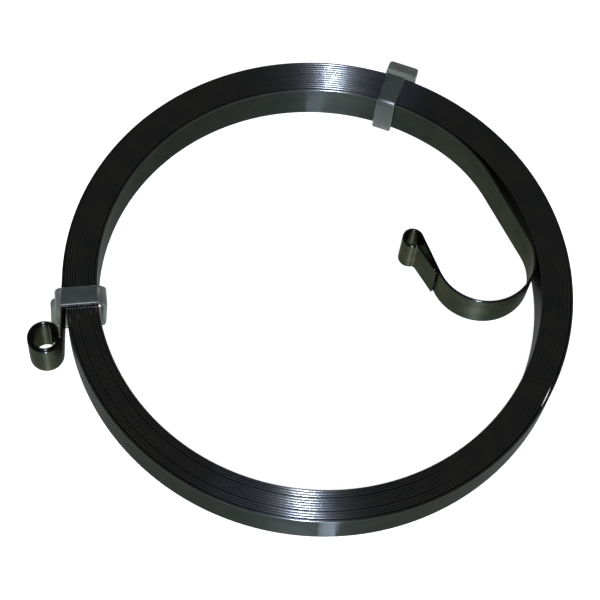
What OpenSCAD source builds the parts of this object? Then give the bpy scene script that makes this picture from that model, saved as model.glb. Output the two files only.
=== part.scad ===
/* [Strip] */
// Width of the spring strip, which is the height of the coil
strip_width = 11; // [8:0.5:16]
// Thickness of the spring strip
strip_thickness = 0.6; // [0.4:0.05:0.8]

/* [Coil] */
// Diameter over the outermost turn
coil_outer_d = 125; // [100:1:160]
// Complete turns before the last part of a turn
full_turns = 12; // [4:1:16]
// Gap between one turn and the next
turn_gap = 0.06; // [0.04:0.01:0.2]
// Direction, seen from the axis, where the inner end leaves the coil
coil_start_angle = 62.5; // [55:0.5:70]
// Direction, seen from the axis, where the outer end leaves the coil
coil_end_angle = 190; // [185:0.5:193]

/* [Inner end] */
// Widest gap between the coil and the straight reach of the inner end
reach_gap = 1.8; // [1.4:0.1:3]
// Angle of the bend that leads the inner end away from the coil
lead_angle = 27.5; // [22:0.5:34]
// Gap left between the curl and the coil
curl_gap = 0.1; // [0.05:0.05:0.8]
// Radius of the curl at mid thickness
curl_radius = 12.4; // [9:0.1:15]
// Angle that the curl turns through
curl_angle = 184.5; // [165:0.5:195]
// Straight length between the curl and the hook
shank_length = 11; // [9:0.1:15]
// Bore of the hook's loop
hook_bore_d = 4.2; // [3:0.1:5]
// Radius at mid thickness of the neck where the hook's tail leaves its loop
neck_radius = 1.2; // [0.8:0.1:2]
// Angle at which the hook's tail closes onto the shank
fold_angle = 9; // [5:0.5:11]
// Gap between the end of the hook's tail and the shank
fold_gap = 0.1; // [0.05:0.05:0.4]
// Distance along the shank from the hook's loop to the end of its tail
fold_length = 10.8; // [8:0.1:11]

/* [Outer end] */
// Gap between the left tie's head and the eye
eye_clearance = 0.3; // [0.1:0.05:4]
// Bore of the rolled eye
eye_bore_d = 5.9; // [4.5:0.1:7]
// Gap between the layers of the eye's roll
eye_gap = 0.1; // [0.08:0.01:0.3]
// Angle that the eye is rolled through
eye_roll = 655; // [545:5:655]

/* [Ties] */
// Direction of the upper tie, seen from the axis
upper_tie_angle = 79.5; // [76:0.5:120]
// Direction of the left tie, seen from the axis
left_tie_angle = 195; // [194:0.5:197]
// Width of a tie's strap
strap_width = 4.8; // [3:0.1:6]
// Thickness of a tie's strap
strap_thickness = 1.2; // [0.8:0.1:1.6]
// Clearance between a tie and the turns it holds
tie_clearance = 0.1; // [0.05:0.05:0.3]
// Slack of the left tie on the inside of the coil
left_tie_slack = 0.9; // [0:0.1:0.9]
// Width of a tie's head, along the turns
head_width = 7.8; // [6.5:0.1:9]
// Depth of the upper tie's head, out from the strap
upper_head_depth = 2.9; // [1:0.1:5]
// Depth of the left tie's head, out from the strap
left_head_depth = 1.3; // [1:0.1:5]
// Height of a tie's head
head_height = 6; // [4:0.1:7]
// Radius of the head's upright corners
head_corner = 0.8; // [0.3:0.1:1]
// Height of the upper tie's head above the bottom of its strap
upper_head_lift = 6.4; // [2:0.1:7]
// Height of the left tie's head above the bottom of its strap
left_head_lift = 2; // [1:0.1:6]
// Shift of the upper tie's head along the turns
upper_head_shift = -1; // [-1.5:0.1:1.5]
// Shift of the left tie's head along the turns
left_head_shift = 1.4; // [-1.5:0.1:1.5]

/* [Hidden] */
$fn = 180;

// Each half turn is a true arc, and the next one inwards has half a pitch less radius
pitch = strip_thickness + turn_gap;
half_turns = 2 * full_turns;
coil_outer_r = coil_outer_d / 2;
last_radius = coil_outer_r - strip_thickness / 2;
first_radius = last_radius - full_turns * pitch;
coil_inner_r = first_radius - strip_thickness / 2;
coil_base = strap_thickness + tie_clearance;

// Inner radius of a strap's corners, small enough to clear the strip's square edges
strap_corner = 2 * tie_clearance;

// Outside of the turns under a tie, with the tail where it already leaves the coil
function held_outer_r(angle) =
    let (past = max(0, angle - coil_end_angle))
    (coil_outer_r + strap_width / 2 * sin(past)) / cos(past);

// Inside of the turns at the edges of a tie's strap
held_inner_r = sqrt(pow(coil_inner_r, 2) - pow(strap_width / 2, 2));

// The ends lap into the turns that they grow from, a hair inside the turns' faces
lap = 0.05;
lap_inset = 0.001;
end_thickness = strip_thickness - 2 * lap_inset;

// The hook's loop and the eye are bent a little tight and reamed to their bores
ream = 0.04;

// The hook's loop turns past a half circle, and the neck turns back until the tail closes onto the shank
hook_radius = (hook_bore_d + strip_thickness) / 2 - ream;
fold_pitch = strip_thickness + fold_gap;
fold_offset = fold_length * sin(fold_angle) + fold_pitch * cos(fold_angle);
neck_cosine = (neck_radius + fold_offset - hook_radius * cos(fold_angle)) / (neck_radius + hook_radius);
neck_angle = acos(neck_cosine);
hook_angle = 180 + fold_angle + neck_angle;

// The eye is rolled in two layers: an outer bend, a step of a tight and a wide bend, and an inner bend
eye_radius = (eye_bore_d + strip_thickness) / 2 - ream;
roll_radius = eye_radius + strip_thickness + eye_gap;
step_roll = 60;
step_shift = (roll_radius - eye_radius) / (2 * (1 - cos(step_roll / 2)));
tight_radius = roll_radius - step_shift;
wide_radius = eye_radius + step_shift;
inner_roll = 295;
outer_roll = eye_roll - step_roll - inner_roll;

// The straight tail passes through the left tie and reaches past its head
tie_past_end = left_tie_angle - coil_end_angle;
head_outer_r = held_outer_r(left_tie_angle) + tie_clearance + strap_thickness + left_head_depth;
head_past_tie = head_width / 2 + left_head_shift;
outer_tail = head_outer_r * sin(tie_past_end) + head_past_tie * cos(tie_past_end)
    + eye_clearance + roll_radius + strip_thickness / 2;

// The lead bend leaves the coil by the reach's widest gap
lead_radius = first_radius - (reach_gap - turn_gap) / (1 - cos(lead_angle));

// A station on the strip's middle line is [x, y, heading], and a bend to the left has a positive angle
bend_step = 4;

function after_straight(from, length) =
    [from.x + length * cos(from.z), from.y + length * sin(from.z), from.z];

function after_bend(from, radius, angle) =
    let (side = sign(angle) * radius)
    [
        from.x + side * (sin(from.z + angle) - sin(from.z)),
        from.y - side * (cos(from.z + angle) - cos(from.z)),
        from.z + angle
    ];

function along_bend(from, radius, angle) =
    let (steps = ceil(abs(angle) / bend_step))
    [for (index = [1 : steps]) after_bend(from, radius, angle * index / steps)];

// Length of a straight that ends in a bend to the right whose centre is at a distance from the axis
function straight_to_bend(from, radius, centre_distance) =
    let (ahead = from.x * cos(from.z) + from.y * sin(from.z))
    let (aside = from.x * sin(from.z) - from.y * cos(from.z))
    sqrt(pow(centre_distance, 2) - pow(abs(aside) - radius, 2)) - ahead;

function beside(station, side) =
    [station.x - side * sin(station.z), station.y + side * cos(station.z)];

// Outline of a length of strip that follows a list of stations
function strip_outline(stations) =
    concat(
        [for (station = stations) beside(station, end_thickness / 2)],
        [for (index = [len(stations) - 1 : -1 : 0]) beside(stations[index], -end_thickness / 2)]
    );

// Stations of the inner end, from the innermost half turn to the tip of the hook's tail
start = [-first_radius, 0, 90];
first_arc = coil_end_angle - coil_start_angle;
lead_start = after_bend(start, first_radius, -first_arc);
lead_end = after_bend(lead_start, lead_radius, -lead_angle);
curl_centre_r = first_radius + turn_gap - curl_gap - curl_radius;
reach_length = straight_to_bend(lead_end, curl_radius, curl_centre_r);
curl_start = after_straight(lead_end, reach_length);
curl_end = after_bend(curl_start, curl_radius, -curl_angle);
hook_start = after_straight(curl_end, shank_length);
hook_centre = beside(hook_start, hook_radius);
neck_start = after_bend(hook_start, hook_radius, hook_angle);
tail_start = after_bend(neck_start, neck_radius, -neck_angle);
fold_end = beside(after_straight(hook_start, -fold_length), fold_pitch);
hook_tail = norm([fold_end.x - tail_start.x, fold_end.y - tail_start.y]);
tail_end = after_straight(tail_start, hook_tail);
inner_stations = concat(
    [after_straight(start, -lap), start],
    along_bend(start, first_radius, -first_arc),
    along_bend(lead_start, lead_radius, -lead_angle),
    [curl_start],
    along_bend(curl_start, curl_radius, -curl_angle),
    [hook_start],
    along_bend(hook_start, hook_radius, hook_angle),
    along_bend(neck_start, neck_radius, -neck_angle),
    [tail_end]
);

// Stations of the outer end, from the outermost half turn to the end of the eye's roll
outer_start = [-last_radius, lap, -90];
roll_start = after_straight(outer_start, lap + outer_tail);
eye_centre = beside(roll_start, -roll_radius);
step_start = after_bend(roll_start, roll_radius, -outer_roll);
step_middle = after_bend(step_start, tight_radius, -step_roll / 2);
step_end = after_bend(step_middle, wide_radius, -step_roll / 2);
outer_stations = concat(
    [outer_start, roll_start],
    along_bend(roll_start, roll_radius, -outer_roll),
    along_bend(step_start, tight_radius, -step_roll / 2),
    along_bend(step_middle, wide_radius, -step_roll / 2),
    along_bend(step_end, eye_radius, -inner_roll)
);

// Upright cross-section of the strip at a distance from a bend's centre
module strip_section(radius)
{
    translate([radius - strip_thickness / 2, 0])
    square([strip_thickness, strip_width]);
}

// The complete turns: odd half turns are centred half a pitch aside and start opposite
module wound_turns()
{
    for (index = [0 : half_turns - 1])
        translate([index % 2 * pitch / 2, 0, 0])
        rotate([0, 0, index % 2 * 180])
        rotate_extrude(angle = 180)
        strip_section(last_radius - index * pitch / 2);
}

// An end of the strip with its reamed bore
module strip_end(stations, bore_centre, bore_d)
{
    difference()
    {
        linear_extrude(height = strip_width)
        polygon(strip_outline(stations));
        translate([bore_centre.x, bore_centre.y, -1])
        cylinder(d = bore_d, h = strip_width + 2);
    }
}

// The inner end: rest of the first turn, lead, reach, curl and a hook folded back onto its shank
module inner_end()
{
    strip_end(inner_stations, hook_centre, hook_bore_d);
}

// The outer end: a straight tail and an eye rolled away from the coil
module outer_end()
{
    strip_end(outer_stations, eye_centre, eye_bore_d);
}

module spring_strip()
{
    color([0.13, 0.14, 0.15])
    translate([0, 0, coil_base])
    rotate([0, 0, coil_end_angle - 180])
    {
        wound_turns();
        inner_end();
        outer_end();
    }
}

// A rectangle with round corners, given by its lowest and highest corners
module rounded_outline(low, high, radius)
{
    translate([low.x + radius, low.y])
    square([high.x - low.x - 2 * radius, high.y - low.y]);
    translate([low.x, low.y + radius])
    square([high.x - low.x, high.y - low.y - 2 * radius]);
    for (x = [low.x + radius, high.x - radius])
        for (y = [low.y + radius, high.y - radius])
            translate([x, y])
            circle(r = radius);
}

// A tie: a closed strap round the section of the coil and a head on its outside
module tie(angle, slack, head_depth, head_lift, head_shift)
{
    inside_low = [held_inner_r - tie_clearance - slack, strap_thickness];
    inside_high = [held_outer_r(angle) + tie_clearance, coil_base + strip_width + tie_clearance];
    wall = [strap_thickness, strap_thickness];
    head_low = [inside_high.x + strap_thickness / 2, head_shift - head_width / 2];
    head_high = [inside_high.x + strap_thickness + head_depth, head_shift + head_width / 2];
    rotate([0, 0, angle])
    {
        rotate([90, 0, 0])
        linear_extrude(height = strap_width, center = true)
        difference()
        {
            rounded_outline(inside_low - wall, inside_high + wall, strap_corner + strap_thickness);
            rounded_outline(inside_low, inside_high, strap_corner);
        }
        translate([0, 0, head_lift])
        linear_extrude(height = head_height)
        rounded_outline(head_low, head_high, head_corner);
    }
}

module upper_tie()
{
    color([0.80, 0.84, 0.88])
    tie(upper_tie_angle, 0, upper_head_depth, upper_head_lift, upper_head_shift);
}

module left_tie()
{
    color([0.80, 0.84, 0.88])
    tie(left_tie_angle, left_tie_slack, left_head_depth, left_head_lift, left_head_shift);
}

spring_strip();
upper_tie();
left_tie();
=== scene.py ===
import math

import bmesh
import bpy
from mathutils import Matrix, Vector


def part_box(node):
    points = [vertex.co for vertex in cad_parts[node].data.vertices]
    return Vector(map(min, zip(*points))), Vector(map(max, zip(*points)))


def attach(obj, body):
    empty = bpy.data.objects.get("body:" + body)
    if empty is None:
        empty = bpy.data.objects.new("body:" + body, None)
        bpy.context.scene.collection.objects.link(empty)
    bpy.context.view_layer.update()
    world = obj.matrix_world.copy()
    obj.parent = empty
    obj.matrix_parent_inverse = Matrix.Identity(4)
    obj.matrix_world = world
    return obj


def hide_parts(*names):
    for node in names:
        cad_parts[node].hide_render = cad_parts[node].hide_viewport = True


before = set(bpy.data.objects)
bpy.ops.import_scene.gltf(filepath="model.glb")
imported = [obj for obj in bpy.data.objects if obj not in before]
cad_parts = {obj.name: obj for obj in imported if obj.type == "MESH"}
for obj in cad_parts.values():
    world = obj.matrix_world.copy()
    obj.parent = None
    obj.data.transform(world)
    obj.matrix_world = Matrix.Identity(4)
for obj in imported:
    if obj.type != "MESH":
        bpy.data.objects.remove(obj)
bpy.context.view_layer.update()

MM = 0.001

# Sizes taken from the frame
STRIP_LOW, STRIP_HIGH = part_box("spring_strip")
STRIP_WIDTH = STRIP_HIGH.z - STRIP_LOW.z
STRIP_BASE = STRIP_LOW.z
STRIP_TOP = STRIP_HIGH.z
STRIP_MIDDLE = (STRIP_BASE + STRIP_TOP) / 2
COIL_OUTER_R = STRIP_HIGH.y

# Strip and coil
STRIP_THICKNESS = 0.6 * MM
TURN_GAP = 0.06 * MM
FULL_TURNS = 12
COIL_START_ANGLE = math.radians(62.5)
COIL_END_ANGLE = math.radians(190)
PITCH = STRIP_THICKNESS + TURN_GAP
LAST_RADIUS = COIL_OUTER_R - STRIP_THICKNESS / 2
FIRST_RADIUS = LAST_RADIUS - FULL_TURNS * PITCH

# Inner end
REACH_GAP = 1.8 * MM
LEAD_ANGLE = math.radians(27.5)
CURL_GAP = 0.1 * MM
CURL_RADIUS = 12.4 * MM
CURL_ANGLE = math.radians(184.5)
SHANK_LENGTH = 11 * MM
HOOK_RADIUS = 2.36 * MM
NECK_RADIUS = 1.2 * MM
FOLD_ANGLE = math.radians(9)
FOLD_GAP = 0.1 * MM
FOLD_PITCH = STRIP_THICKNESS + FOLD_GAP
FOLD_LENGTH = 10.8 * MM

# Outer end
OUTER_TAIL = 15.503 * MM
EYE_RADIUS = 3.21 * MM
ROLL_GAP = 0.1 * MM
ROLL_RADIUS = EYE_RADIUS + STRIP_THICKNESS + ROLL_GAP
OUTER_ROLL = math.radians(300)
STEP_ROLL = math.radians(60)
INNER_ROLL = math.radians(295)
STEP_SHIFT = (ROLL_RADIUS - EYE_RADIUS) / (2 * (1 - math.cos(STEP_ROLL / 2)))

# Gaps between the layers of the coil, from the outermost inwards: even at the back but for the
# innermost, one loose turn at the right, and groups of 1, 3, 5 and 3 turns at the front; each place
# is (direction, held arc, gaps)
SNUG = 0.012 * MM
BACK = (math.radians(90), math.radians(60), [0.047 * MM] * 11 + [0.2 * MM])
RIGHT = (math.radians(-25), math.radians(8), [0.24 * MM] + [0.042 * MM] * 10)
FRONT = (
    math.radians(-90),
    math.radians(20),
    [0.22 * MM, SNUG, SNUG, 0.17 * MM, SNUG, SNUG, SNUG, SNUG, 0.17 * MM, SNUG, SNUG],
)

# Eased edges and the small unevenness of a wound strip
FACE_INSET = 0.004 * MM
EDGE_RADIUS = 0.14 * MM
EDGE_STEPS = 4
HEIGHT_WANDER = 0.09 * MM
HEIGHT_WAVE = 210 * MM
HEATED_LENGTH = 160 * MM

# How finely the middle line is divided
TURN_STEP = math.radians(2)
BEND_STEP = math.radians(6)
TIGHT_STEP = 1.5 * BEND_STEP
STRAIGHT_STEP = 2 * MM
TAIL_STEP = 1.5 * MM
STEP_ROUNDING = 1e-6

# Steel: how near the rim the slit edge starts and is full, what it adds to the roughness, the
# streaks per metre along and across the strip, and colours as two (position, colour) stops
RIM_START = 0.6 * MM
RIM_FULL = 0.3 * MM
RIM_ROUGHNESS = -0.07
STREAKS_ALONG = 60.0
STREAKS_ACROSS = 5000.0
STAIN_SCALE = 170.0
STEEL_TINT = (0.46, 0.465, 0.44, 1)
EDGE_STOPS = (0.35, (0.044, 0.047, 0.052)), (0.65, (0.056, 0.057, 0.054))
COLD_STOPS = (0.35, (0.018, 0.0215, 0.019)), (0.65, (0.024, 0.027, 0.0235))
WARM_STOPS = (0.38, (0.030, 0.036, 0.025)), (0.62, (0.046, 0.046, 0.029))
SCORCHED_STOPS = (0.35, (0.014, 0.015, 0.014)), (0.65, (0.020, 0.020, 0.017))

# Nylon
CLOUD_SCALE = 320.0
NYLON_STOPS = (0.3, (0.124, 0.140, 0.124)), (0.7, (0.156, 0.170, 0.148))

# Ties
UPPER_TIE_ANGLE = math.radians(79.5)
LEFT_TIE_ANGLE = math.radians(195)
STRAP_WIDTH = 4.8 * MM
STRAP_THICKNESS = 1.2 * MM
STRAP_BEND = 0.45 * MM
STRAP_EDGE = 0.3 * MM
TIE_CLEARANCE = 0.1 * MM
LEFT_TIE_SLACK = 0.9 * MM
HEAD_WIDTH = 7.8 * MM
HEAD_HEIGHT = 6 * MM
UPPER_HEAD_DEPTH = 2.9 * MM
LEFT_HEAD_DEPTH = 1.3 * MM
UPPER_HEAD_LIFT = 6.4 * MM
LEFT_HEAD_LIFT = 2 * MM
UPPER_HEAD_SHIFT = -1 * MM
LEFT_HEAD_SHIFT = 1.4 * MM
UPPER_HEAD_CORNERS = (0.9 * MM, 0.7 * MM)
LEFT_HEAD_CORNERS = (1.2 * MM, 1.2 * MM)
HEAD_BACK_CORNER = 0.1 * MM
HEAD_EDGE = 0.5 * MM
LEFT_STRAP_SHOULDER = 1.5 * MM
LEFT_STRAP_DROP = 1.3 * MM
LEFT_STRAP_FOOT = 0.7 * MM
TIE_SHARP_ANGLE = math.radians(40)

# Steps of rounded corners
LOOP_STEPS = 6
SECTION_STEPS = 3
HEAD_STEPS = 8
HEAD_RIM_STEPS = 4

# Camera
CAMERA_ELEVATION = math.radians(63.7609)
CAMERA_DISTANCE = 443.3 * MM
CAMERA_ROLL = math.radians(9.0531)
CAMERA_LENS = 107.80
SENSOR_WIDTH = 36.0
IMAGE_SIZE = 600
AIM_PIXEL = (317.880, 288.563)
CLIP_START = 0.01
CLIP_END = 20

# Stage: each light is (name, place, aim, size, power, colour); the two glares lie on the floor
FLOOR_SIZE = 3.0
FLOOR_DROP = 0.05 * MM
SKY_COLOUR = (1.0, 0.98, 0.92, 1)
SKY_STRENGTH = 0.26
CENTRE = (0, 0, 0)
LIGHTS = (
    ("key", (0.12, -0.80, 1.376), CENTRE, (0.11, 0.12), 120, (0.76, 0.84, 1.0)),
    ("soft_key", (-0.06, -0.80, 1.38), CENTRE, (0.8, 0.4), 6.0, (0.50, 0.56, 1.0)),
    (
        "front_glare", (0.0142, -0.0688, 0.0003), (0.0146, -0.0697, 1),
        (0.0043, 0.015), 0.0042, (0.55, 0.58, 1.0),
    ),
    (
        "back_glare", (-0.0062, 0.0456, 0.0003), (-0.0059, 0.0446, 1),
        (0.0037, 0.015), 0.0009, (0.58, 0.64, 1.0),
    ),
)


# The strip's middle line: a station is (x, y, heading)


def after_straight(station, length):
    x, y, heading = station
    return (x + length * math.cos(heading), y + length * math.sin(heading), heading)


def after_bend(station, radius, angle):
    x, y, heading = station
    side = math.copysign(radius, angle)
    ahead = heading + angle
    return (
        x + side * (math.sin(ahead) - math.sin(heading)),
        y - side * (math.cos(ahead) - math.cos(heading)),
        ahead,
    )


def along_bend(station, radius, angle, step):
    count = math.ceil(abs(angle) / step - STEP_ROUNDING)
    return [after_bend(station, radius, angle * i / count) for i in range(1, count + 1)]


def along_straight(station, length, step):
    count = max(1, math.ceil(length / step))
    return [after_straight(station, length * i / count) for i in range(1, count + 1)]


def straight_to_curl(station):
    """Length of the reach that lets the curl come to rest just inside the coil."""
    x, y, heading = station
    ahead = x * math.cos(heading) + y * math.sin(heading)
    aside = x * math.sin(heading) - y * math.cos(heading)
    centre_distance = FIRST_RADIUS + TURN_GAP - CURL_GAP - CURL_RADIUS
    return math.sqrt(centre_distance**2 - (abs(aside) - CURL_RADIUS) ** 2) - ahead


def after_straight_aside(station, length, side):
    """A point along a straight and to its left."""
    x, y, heading = after_straight(station, length)
    return (x - side * math.sin(heading), y + side * math.cos(heading))


def inner_end_stations():
    """From the innermost half turn to the tip of the hook's tail."""
    fold_offset = FOLD_LENGTH * math.sin(FOLD_ANGLE) + FOLD_PITCH * math.cos(FOLD_ANGLE)
    neck_rise = NECK_RADIUS + fold_offset - HOOK_RADIUS * math.cos(FOLD_ANGLE)
    neck_angle = math.acos(neck_rise / (NECK_RADIUS + HOOK_RADIUS))
    lead_drop = (REACH_GAP - TURN_GAP) / (1 - math.cos(LEAD_ANGLE))
    line = [(-FIRST_RADIUS, 0.0, math.pi / 2)]
    line += along_bend(line[-1], FIRST_RADIUS, COIL_START_ANGLE - COIL_END_ANGLE, TURN_STEP)
    line += along_bend(line[-1], FIRST_RADIUS - lead_drop, -LEAD_ANGLE, TURN_STEP)
    line += along_straight(line[-1], straight_to_curl(line[-1]), STRAIGHT_STEP)
    line += along_bend(line[-1], CURL_RADIUS, -CURL_ANGLE, BEND_STEP)
    line += along_straight(line[-1], SHANK_LENGTH, STRAIGHT_STEP)
    fold_end = after_straight_aside(line[-1], -FOLD_LENGTH, FOLD_PITCH)
    hook_angle = math.pi + FOLD_ANGLE + neck_angle
    line += along_bend(line[-1], HOOK_RADIUS, hook_angle, TIGHT_STEP)
    line += along_bend(line[-1], NECK_RADIUS, -neck_angle, TIGHT_STEP)
    line += along_straight(line[-1], math.dist(line[-1][:2], fold_end), TAIL_STEP)
    return line


def gap_shifts(gaps):
    """How far each layer sits outside its place in an evenly wound coil."""
    shifts = [0.0]
    for gap in gaps:
        shifts.append(shifts[-1] + TURN_GAP - gap)
    return shifts


def layer_knots():
    """Where shifts are set: (angle wound in from the outer end, shift, arc held either side)."""
    knots = [(0.0, 0.0, 0.0)]
    for direction, held, gaps in (BACK, RIGHT, FRONT):
        for turn, shift in enumerate(gap_shifts(gaps)):
            knots.append((COIL_END_ANGLE - direction + turn * 2 * math.pi, shift, held))
    return sorted(knots)


def layer_shift(knots, wound):
    """Shift of the layer that is wound this angle in from the outer end of the coil."""
    for (start, low, after), (stop, high, before) in zip(knots, knots[1:]):
        if wound <= stop:
            part = (wound - start - after) / (stop - start - after - before)
            part = min(1.0, max(0.0, part))
            return low + (high - low) * part * part * (3 - 2 * part)
    return knots[-1][1]


def turn_points():
    """Half turns from the innermost to the outermost, each an arc with its layers' shifts."""
    points = []
    knots = layer_knots()
    steps = round(math.pi / TURN_STEP)
    for index in range(2 * FULL_TURNS - 1, -1, -1):
        radius = LAST_RADIUS - index * PITCH / 2
        centre_x = index % 2 * PITCH / 2
        start = index % 2 * math.pi
        for step in range(1, steps + 1):
            angle = start + math.pi * step / steps
            wound = index * math.pi + math.pi * (1 - step / steps)
            out = radius + layer_shift(knots, wound)
            points.append((centre_x + out * math.cos(angle), out * math.sin(angle)))
    return points


def outer_end_stations():
    """The straight tail and the eye rolled away from the coil in two layers."""
    line = [(-LAST_RADIUS, 0.0, -math.pi / 2)]
    line += along_straight(line[-1], OUTER_TAIL, STRAIGHT_STEP)
    line += along_bend(line[-1], ROLL_RADIUS, -OUTER_ROLL, TIGHT_STEP)
    line += along_bend(line[-1], ROLL_RADIUS - STEP_SHIFT, -STEP_ROLL / 2, TIGHT_STEP)
    line += along_bend(line[-1], EYE_RADIUS + STEP_SHIFT, -STEP_ROLL / 2, TIGHT_STEP)
    line += along_bend(line[-1], EYE_RADIUS, -INNER_ROLL, TIGHT_STEP)
    return line[1:]


def strip_line():
    """Middle line of the strip from the hook's tip to the end of the eye's roll."""
    flat = [station[:2] for station in reversed(inner_end_stations())]
    flat += turn_points()
    flat += [station[:2] for station in outer_end_stations()]
    turn = Matrix.Rotation(COIL_END_ANGLE - math.pi, 3, "Z")
    return [turn @ Vector((x, y, STRIP_MIDDLE)) for x, y in flat]


# Node helpers


def add_node(tree, kind, **settings):
    node = tree.nodes.new(kind)
    for name, value in settings.items():
        setattr(node, name, value)
    return node


def join(tree, source, target):
    tree.links.new(source, target)


def set_inputs(node, **values):
    for name, value in values.items():
        node.inputs[name.replace("_", " ")].default_value = value


def maths(tree, operation, *values):
    """Result of a maths node; each value is a number or the socket that gives it."""
    node = add_node(tree, "ShaderNodeMath", operation=operation)
    for socket, value in zip(node.inputs, values):
        if isinstance(value, (int, float)):
            socket.default_value = value
        else:
            join(tree, value, socket)
    return node.outputs["Value"]


# Materials


def colour_ramp(tree, noise, low, high):
    """Colours between two stops, each (position, colour), driven by a noise."""
    ramp = add_node(tree, "ShaderNodeValToRGB")
    for element, (position, colour) in zip(ramp.color_ramp.elements, (low, high)):
        element.position = position
        element.color = (*colour, 1)
    join(tree, noise.outputs["Fac"], ramp.inputs["Fac"])
    return ramp.outputs["Color"]


def new_material(name):
    material = bpy.data.materials.new(name)
    material.use_nodes = True
    tree = material.node_tree
    shader = next(node for node in tree.nodes if node.type == "BSDF_PRINCIPLED")
    return material, tree, shader


def on_edge(tree, height):
    """One on the strip's slit edges, nothing on its rolled faces."""
    away = maths(tree, "ABSOLUTE", maths(tree, "SUBTRACT", height, STRIP_MIDDLE))
    rim = add_node(tree, "ShaderNodeMapRange")
    set_inputs(rim, From_Min=STRIP_WIDTH / 2 - RIM_START, From_Max=STRIP_WIDTH / 2 - RIM_FULL)
    join(tree, away, rim.inputs["Value"])
    return rim.outputs["Result"]


def blend(tree, factor, first, second):
    """The first colour where the factor is nothing, the second where it is one."""
    mix = add_node(tree, "ShaderNodeMix", data_type="RGBA")
    join(tree, factor, mix.inputs["Factor"])
    join(tree, first, mix.inputs["A"])
    join(tree, second, mix.inputs["B"])
    return mix.outputs["Result"]


def blued_steel():
    """Dark blued strip: olive faces and black edges at the heated ends, with streaks and stains."""
    material, tree, shader = new_material("blued_spring_steel")
    set_inputs(shader, Metallic=1.0, Anisotropic=1.0, Anisotropic_Rotation=0.25)
    shader.inputs["Specular Tint"].default_value = STEEL_TINT

    grain = add_node(tree, "ShaderNodeAttribute", attribute_name="grain")
    join(tree, grain.outputs["Vector"], shader.inputs["Tangent"])
    place = add_node(tree, "ShaderNodeTexCoord")

    heated = add_node(tree, "ShaderNodeAttribute", attribute_name="heated")
    stain = add_node(tree, "ShaderNodeTexNoise")
    set_inputs(stain, Scale=STAIN_SCALE, Detail=3.0, Roughness=0.55)
    join(tree, place.outputs["Object"], stain.inputs["Vector"])
    edge = colour_ramp(tree, stain, *EDGE_STOPS)
    cold = colour_ramp(tree, stain, *COLD_STOPS)
    warm = colour_ramp(tree, stain, *WARM_STOPS)
    scorched = colour_ramp(tree, stain, *SCORCHED_STOPS)
    face = blend(tree, heated.outputs["Fac"], cold, warm)
    slit = blend(tree, heated.outputs["Fac"], edge, scorched)
    height = add_node(tree, "ShaderNodeSeparateXYZ")
    join(tree, place.outputs["Object"], height.inputs["Vector"])
    rim = on_edge(tree, height.outputs["Z"])
    join(tree, blend(tree, rim, face, slit), shader.inputs["Base Color"])

    run = add_node(tree, "ShaderNodeAttribute", attribute_name="run")
    stretched = add_node(tree, "ShaderNodeCombineXYZ")
    join(tree, maths(tree, "MULTIPLY", run.outputs["Fac"], STREAKS_ALONG), stretched.inputs["X"])
    join(tree, maths(tree, "MULTIPLY", height.outputs["Z"], STREAKS_ACROSS), stretched.inputs["Y"])
    streak = add_node(tree, "ShaderNodeTexNoise", noise_dimensions="2D")
    set_inputs(streak, Scale=1.0, Detail=3.0, Roughness=0.6)
    join(tree, stretched.outputs["Vector"], streak.inputs["Vector"])
    gloss = add_node(tree, "ShaderNodeMapRange")
    set_inputs(gloss, From_Min=0.3, From_Max=0.7, To_Min=0.26, To_Max=0.30)
    join(tree, streak.outputs["Fac"], gloss.inputs["Value"])
    burnished = maths(tree, "MULTIPLY_ADD", rim, RIM_ROUGHNESS, gloss.outputs["Result"])
    join(tree, burnished, shader.inputs["Roughness"])
    return material


def natural_nylon():
    """Milky moulded nylon that lets some light through."""
    material, tree, shader = new_material("natural_nylon")
    set_inputs(shader, IOR=1.3, Transmission_Weight=0.945)
    place = add_node(tree, "ShaderNodeTexCoord")
    cloud = add_node(tree, "ShaderNodeTexNoise")
    set_inputs(cloud, Scale=CLOUD_SCALE, Detail=3.0, Roughness=0.5)
    join(tree, place.outputs["Object"], cloud.inputs["Vector"])
    colour = colour_ramp(tree, cloud, *NYLON_STOPS)
    join(tree, colour, shader.inputs["Base Color"])
    gloss = add_node(tree, "ShaderNodeMapRange")
    set_inputs(gloss, To_Min=0.28, To_Max=0.42)
    join(tree, cloud.outputs["Fac"], gloss.inputs["Value"])
    join(tree, gloss.outputs["Result"], shader.inputs["Roughness"])
    return material


def pale_floor():
    """Plain floor that stays white under the coil."""
    material, _, shader = new_material("pale_floor")
    set_inputs(shader, Roughness=0.9, Emission_Strength=0.97)
    shader.inputs["Emission Color"].default_value = (1, 1, 1, 1)
    shader.inputs["Base Color"].default_value = (0.12, 0.12, 0.12, 1)
    return material


# Spring strip


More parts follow.
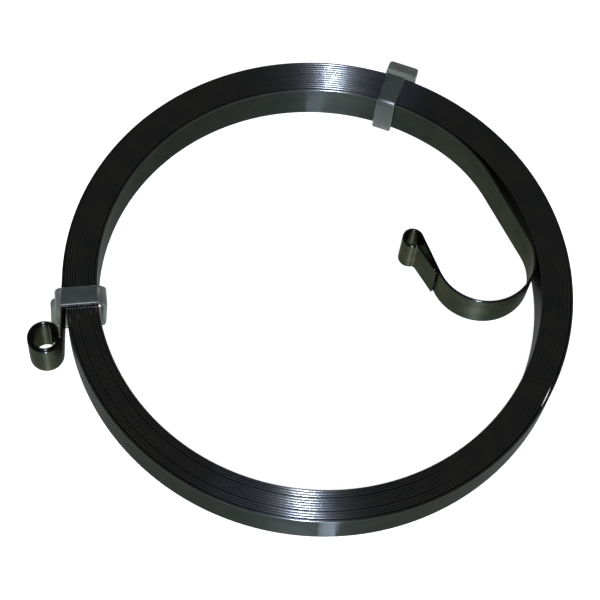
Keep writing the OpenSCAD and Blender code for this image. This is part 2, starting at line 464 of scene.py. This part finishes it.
def strip_tree():
    """Sweeps the strip's section along its middle line and lets the turns wander a little."""
    tree = bpy.data.node_groups.new("wound_strip", "GeometryNodeTree")
    tree.interface.new_socket("Geometry", in_out="INPUT", socket_type="NodeSocketGeometry")
    sizes = ("Thickness", "Width", "Edge radius", "Height wander", "Height wave", "Heated length")
    for name in sizes:
        tree.interface.new_socket(name, in_out="INPUT", socket_type="NodeSocketFloat")
    tree.interface.new_socket("Edge steps", in_out="INPUT", socket_type="NodeSocketInt")
    tree.interface.new_socket("Finish", in_out="INPUT", socket_type="NodeSocketMaterial")
    tree.interface.new_socket("Geometry", in_out="OUTPUT", socket_type="NodeSocketGeometry")
    given = add_node(tree, "NodeGroupInput")
    result = add_node(tree, "NodeGroupOutput")

    line = add_node(tree, "GeometryNodeMeshToCurve")
    join(tree, given.outputs["Geometry"], line.inputs["Mesh"])
    upright = add_node(tree, "GeometryNodeSetCurveNormal", mode="Z_UP")
    join(tree, line.outputs["Curve"], upright.inputs["Curve"])

    run = add_node(tree, "GeometryNodeSplineParameter").outputs["Length"]
    tangent = add_node(tree, "GeometryNodeInputTangent").outputs["Tangent"]
    heated = heated_ends(tree, run, given.outputs["Heated length"])
    marked = stored(tree, upright.outputs["Curve"], "run", "FLOAT", run)
    marked = stored(tree, marked, "grain", "FLOAT_VECTOR", tangent)
    marked = stored(tree, marked, "heated", "FLOAT", heated)

    height_offset = wander(
        tree, run, given.outputs["Height wander"], given.outputs["Height wave"]
    )
    upward = add_node(tree, "ShaderNodeCombineXYZ")
    join(tree, height_offset, upward.inputs["Z"])
    uneven = add_node(tree, "GeometryNodeSetPosition")
    join(tree, marked, uneven.inputs["Geometry"])
    join(tree, upward.outputs["Vector"], uneven.inputs["Offset"])

    section = add_node(tree, "GeometryNodeCurvePrimitiveQuadrilateral", mode="RECTANGLE")
    join(tree, given.outputs["Thickness"], section.inputs["Width"])
    join(tree, given.outputs["Width"], section.inputs["Height"])
    eased = add_node(tree, "GeometryNodeFilletCurve", mode="POLY")
    join(tree, section.outputs["Curve"], eased.inputs["Curve"])
    join(tree, given.outputs["Edge radius"], eased.inputs["Radius"])
    join(tree, given.outputs["Edge steps"], eased.inputs["Count"])

    sweep = add_node(tree, "GeometryNodeCurveToMesh")
    sweep.inputs["Fill Caps"].default_value = True
    join(tree, uneven.outputs["Geometry"], sweep.inputs["Curve"])
    join(tree, eased.outputs["Curve"], sweep.inputs["Profile Curve"])
    real = add_node(tree, "GeometryNodeRealizeInstances")
    join(tree, sweep.outputs["Mesh"], real.inputs["Geometry"])
    finish = add_node(tree, "GeometryNodeSetMaterial")
    join(tree, real.outputs["Geometry"], finish.inputs["Geometry"])
    join(tree, given.outputs["Finish"], finish.inputs["Material"])
    join(tree, finish.outputs["Geometry"], result.inputs["Geometry"])
    return tree


def stored(tree, line, name, kind, value):
    """The line with a value kept on its points, under a name that the material reads."""
    node = add_node(tree, "GeometryNodeStoreNamedAttribute", data_type=kind, domain="POINT")
    set_inputs(node, Name=name)
    join(tree, line, node.inputs["Geometry"])
    join(tree, value, node.inputs["Value"])
    return node.outputs["Geometry"]


def wander(tree, run, size, wave):
    """A smooth offset along the strip, from -size to +size."""
    noise = add_node(tree, "ShaderNodeTexNoise", noise_dimensions="1D")
    set_inputs(noise, Scale=1.0, Detail=1.0)
    join(tree, maths(tree, "DIVIDE", run, wave), noise.inputs["W"])
    centred = maths(tree, "MULTIPLY_ADD", noise.outputs["Fac"], 2.0, -1.0)
    return maths(tree, "MULTIPLY", centred, size)


def heated_ends(tree, run, length):
    """One at both ends of the strip, falling to nothing over the heated length."""
    total = add_node(tree, "GeometryNodeSplineLength").outputs["Length"]
    nearer = maths(tree, "MINIMUM", run, maths(tree, "SUBTRACT", total, run))
    fade = add_node(tree, "ShaderNodeMapRange", interpolation_type="SMOOTHSTEP")
    join(tree, nearer, fade.inputs["Value"])
    join(tree, length, fade.inputs["From Max"])
    set_inputs(fade, From_Min=0.0, To_Min=1.0, To_Max=0.0)
    return fade.outputs["Result"]


def set_modifier(modifier, values):
    for item in modifier.node_group.interface.items_tree:
        if item.item_type == "SOCKET" and item.in_out == "INPUT" and item.name in values:
            modifier[item.identifier] = values[item.name]


def settled(obj):
    """Puts the object's final mesh in place of its modifiers."""
    graph = bpy.context.evaluated_depsgraph_get()
    mesh = bpy.data.meshes.new_from_object(obj.evaluated_get(graph), depsgraph=graph)
    mesh.name = obj.name
    obj.modifiers.clear()
    obj.data = mesh


def add_object(name, data):
    obj = bpy.data.objects.new(name, data)
    bpy.context.scene.collection.objects.link(obj)
    return obj


def spring_strip(finish):
    """The wound strip with its hook and eye."""
    points = strip_line()
    mesh = bpy.data.meshes.new("strip_line")
    mesh.from_pydata(points, [(i, i + 1) for i in range(len(points) - 1)], [])
    strip = add_object("wound_strip", mesh)
    sweep = strip.modifiers.new("sweep", "NODES")
    sweep.node_group = strip_tree()
    set_modifier(
        sweep,
        {
            "Thickness": STRIP_THICKNESS - 2 * FACE_INSET,
            "Width": STRIP_WIDTH - 2 * HEIGHT_WANDER,
            "Edge radius": EDGE_RADIUS,
            "Edge steps": EDGE_STEPS,
            "Height wander": HEIGHT_WANDER,
            "Height wave": HEIGHT_WAVE,
            "Heated length": HEATED_LENGTH,
            "Finish": finish,
        },
    )
    flatten = strip.modifiers.new("flat_faces", "WEIGHTED_NORMAL")
    flatten.keep_sharp = False
    settled(strip)
    strip.data.shade_smooth()
    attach(strip, "root")
    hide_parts("spring_strip")


# Ties


def eased_loop(corners, steps):
    """Closed counter-clockwise outline; each corner is (x, y, radius) and is rounded to it."""
    loop = []
    count = len(corners)
    for i, (x, y, radius) in enumerate(corners):
        here = Vector((x, y))
        before = (Vector(corners[i - 1][:2]) - here).normalized()
        after = (Vector(corners[(i + 1) % count][:2]) - here).normalized()
        half = before.angle(after) / 2
        reach = radius / math.tan(half)
        centre = here + (before + after).normalized() * (radius / math.sin(half))
        first = here + before * reach - centre
        sweep = math.pi - 2 * half
        start = math.atan2(first.y, first.x)
        for step in range(steps + 1):
            angle = start + sweep * step / steps
            loop.append((centre.x + radius * math.cos(angle), centre.y + radius * math.sin(angle)))
    return loop


def strap_section():
    """Section of the strap: (out, aside) points with eased edges."""
    out, aside = STRAP_THICKNESS / 2, STRAP_WIDTH / 2
    corners = ((out, aside), (-out, aside), (-out, -aside), (out, -aside))
    return eased_loop([(x, y, STRAP_EDGE) for x, y in corners], SECTION_STEPS)


def strap_mesh(loop):
    """Sweeps the strap's section round a closed loop in the tie's upright plane."""
    work = bmesh.new()
    section = strap_section()
    rings = []
    count = len(loop)
    for i, (x, z) in enumerate(loop):
        before, after = loop[i - 1], loop[(i + 1) % count]
        along = Vector((after[0] - before[0], after[1] - before[1])).normalized()
        out = Vector((along.y, -along.x))
        rings.append([work.verts.new((x + out.x * s, y, z + out.y * s)) for s, y in section])
    for i in range(count):
        a, b = rings[i], rings[(i + 1) % count]
        for j in range(len(section)):
            k = (j + 1) % len(section)
            work.faces.new((a[j], a[k], b[k], b[j]))
    bmesh.ops.recalc_face_normals(work, faces=work.faces)
    mesh = bpy.data.meshes.new("strap")
    work.to_mesh(mesh)
    work.free()
    return mesh


def head_mesh(low, high, corners):
    """A head with its own plan radius at each upright corner and eased rims."""
    work = bmesh.new()
    rings = []
    quarter = [math.pi / 2 * step / HEAD_RIM_STEPS for step in range(HEAD_RIM_STEPS + 1)]
    levels = [
        (HEAD_EDGE * (1 - math.sin(a)), low.z + HEAD_EDGE * (1 - math.cos(a))) for a in quarter
    ]
    levels += [(inset, low.z + high.z - z) for inset, z in reversed(levels)]
    for inset, z in levels:
        plan = (
            (high.x - inset, high.y - inset, corners[0] - inset),
            (low.x, high.y - inset, HEAD_BACK_CORNER),
            (low.x, low.y + inset, HEAD_BACK_CORNER),
            (high.x - inset, low.y + inset, corners[1] - inset),
        )
        rings.append([work.verts.new((x, y, z)) for x, y in eased_loop(plan, HEAD_STEPS)])
    for lower, upper in zip(rings, rings[1:]):
        for i in range(len(lower)):
            k = (i + 1) % len(lower)
            work.faces.new((lower[i], lower[k], upper[k], upper[i]))
    work.faces.new(reversed(rings[0]))
    work.faces.new(rings[-1])
    bmesh.ops.recalc_face_normals(work, faces=work.faces)
    mesh = bpy.data.meshes.new("head")
    work.to_mesh(mesh)
    work.free()
    return mesh


def held_outer_r(angle):
    """Outside of the turns under a tie, with the tail where it already leaves the coil."""
    past = max(0.0, angle - COIL_END_ANGLE)
    return (COIL_OUTER_R + STRAP_WIDTH / 2 * math.sin(past)) / math.cos(past)


def upper_strap_loop(low, high):
    """Tight round the coil on all four sides."""
    bend = STRAP_BEND + STRAP_THICKNESS / 2
    return (
        (high[0], high[1], bend),
        (low[0], high[1], bend),
        (low[0], low[1], bend),
        (high[0], low[1], bend),
    )


def left_strap_loop(low, high):
    """Slack on the inside: the strap slopes down past the innermost turn."""
    bend = STRAP_BEND + STRAP_THICKNESS / 2
    return (
        (high[0], high[1], bend),
        (low[0] + LEFT_STRAP_SHOULDER, high[1], bend),
        (low[0], high[1] - LEFT_STRAP_DROP, bend),
        (low[0] + LEFT_STRAP_FOOT, low[1], bend),
        (high[0], low[1], bend),
    )


def cable_tie(name, node, angle, slack, strap_loop, depth, lift, shift, corners, finish):
    """A strap and its head as one piece, made at the +X side and turned to its angle."""
    coil_inner_r = FIRST_RADIUS - STRIP_THICKNESS / 2
    held_inner_r = math.sqrt(coil_inner_r**2 - (STRAP_WIDTH / 2) ** 2)
    half = STRAP_THICKNESS / 2
    low = (held_inner_r - TIE_CLEARANCE - slack - half, half)
    high = (held_outer_r(angle) + TIE_CLEARANCE + half, STRIP_TOP + TIE_CLEARANCE + half)
    strap = add_object(name, strap_mesh(eased_loop(strap_loop(low, high), LOOP_STEPS)))
    head_low = Vector((high[0], shift - HEAD_WIDTH / 2, lift))
    head_high = Vector((high[0] + half + depth, shift + HEAD_WIDTH / 2, lift + HEAD_HEIGHT))
    head = add_object(name + "_head", head_mesh(head_low, head_high, corners))
    union = strap.modifiers.new("union", "BOOLEAN")
    union.operation = "UNION"
    union.object = head
    union.solver = "EXACT"
    settled(strap)
    bpy.data.objects.remove(head)
    strap.data.transform(Matrix.Rotation(angle, 4, "Z"))
    strap.data.materials.clear()
    strap.data.materials.append(finish)
    strap.data.shade_smooth()
    strap.data.set_sharp_from_angle(angle=TIE_SHARP_ANGLE)
    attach(strap, "root")
    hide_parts(node)


def upper_tie(finish):
    cable_tie(
        "upper_cable_tie", "upper_tie", UPPER_TIE_ANGLE, 0.0, upper_strap_loop,
        UPPER_HEAD_DEPTH, UPPER_HEAD_LIFT, UPPER_HEAD_SHIFT, UPPER_HEAD_CORNERS, finish,
    )


def left_tie(finish):
    cable_tie(
        "left_cable_tie", "left_tie", LEFT_TIE_ANGLE, LEFT_TIE_SLACK, left_strap_loop,
        LEFT_HEAD_DEPTH, LEFT_HEAD_LIFT, LEFT_HEAD_SHIFT, LEFT_HEAD_CORNERS, finish,
    )


# Stage


def floor():
    work = bmesh.new()
    bmesh.ops.create_grid(work, x_segments=1, y_segments=1, size=FLOOR_SIZE)
    mesh = bpy.data.meshes.new("floor")
    work.to_mesh(mesh)
    work.free()
    plane = add_object("floor", mesh)
    plane.location.z = -FLOOR_DROP
    mesh.materials.append(pale_floor())


def area_light(name, place, aim, size, power, colour):
    light = bpy.data.lights.new(name, "AREA")
    light.shape = "RECTANGLE"
    light.size, light.size_y = size
    light.energy = power
    light.color = colour
    obj = add_object(name, light)
    obj.location = place
    obj.rotation_euler = (Vector(aim) - Vector(place)).to_track_quat("-Z", "Y").to_euler()


def studio_light():
    for light in LIGHTS:
        area_light(*light)
    world = bpy.data.worlds.new("studio")
    bpy.context.scene.world = world
    world.use_nodes = True
    sky = next(node for node in world.node_tree.nodes if node.type == "BACKGROUND")
    sky.inputs["Color"].default_value = SKY_COLOUR
    sky.inputs["Strength"].default_value = SKY_STRENGTH


def turned(vector, axis, angle):
    return Matrix.Rotation(angle, 3, axis) @ vector


def camera():
    """Placed and rolled round the coil's axis, then panned so that the axis falls on its pixel."""
    data = bpy.data.cameras.new("camera")
    data.lens = CAMERA_LENS
    data.sensor_width = SENSOR_WIDTH
    data.sensor_fit = "HORIZONTAL"
    data.clip_start, data.clip_end = CLIP_START, CLIP_END
    cosine, sine = math.cos(CAMERA_ELEVATION), math.sin(CAMERA_ELEVATION)
    back = Vector((0, -cosine, sine))
    forward, right = -back, Vector((1, 0, 0))
    up = right.cross(forward)
    rolled_right = math.cos(CAMERA_ROLL) * right + math.sin(CAMERA_ROLL) * up
    rolled_up = -math.sin(CAMERA_ROLL) * right + math.cos(CAMERA_ROLL) * up
    focal = CAMERA_LENS / SENSOR_WIDTH * IMAGE_SIZE
    aside = (AIM_PIXEL[0] - IMAGE_SIZE / 2) / focal
    above = -(AIM_PIXEL[1] - IMAGE_SIZE / 2) / focal
    pan = math.atan(aside)
    tilt = math.atan2(above, math.hypot(1, aside))
    forward, right = turned(forward, rolled_up, pan), turned(rolled_right, rolled_up, pan)
    forward, up = turned(forward, right, -tilt), turned(rolled_up, right, -tilt)
    obj = add_object("camera", data)
    obj.matrix_world = Matrix.LocRotScale(
        back * CAMERA_DISTANCE + Vector((0, 0, STRIP_MIDDLE)),
        Matrix((right, up, -forward)).transposed(),
        None,
    )
    bpy.context.scene.camera = obj


steel = blued_steel()
nylon = natural_nylon()
camera()
spring_strip(steel)
upper_tie(nylon)
left_tie(nylon)
floor()
studio_light()
bpy.context.scene.view_settings.view_transform = "Standard"
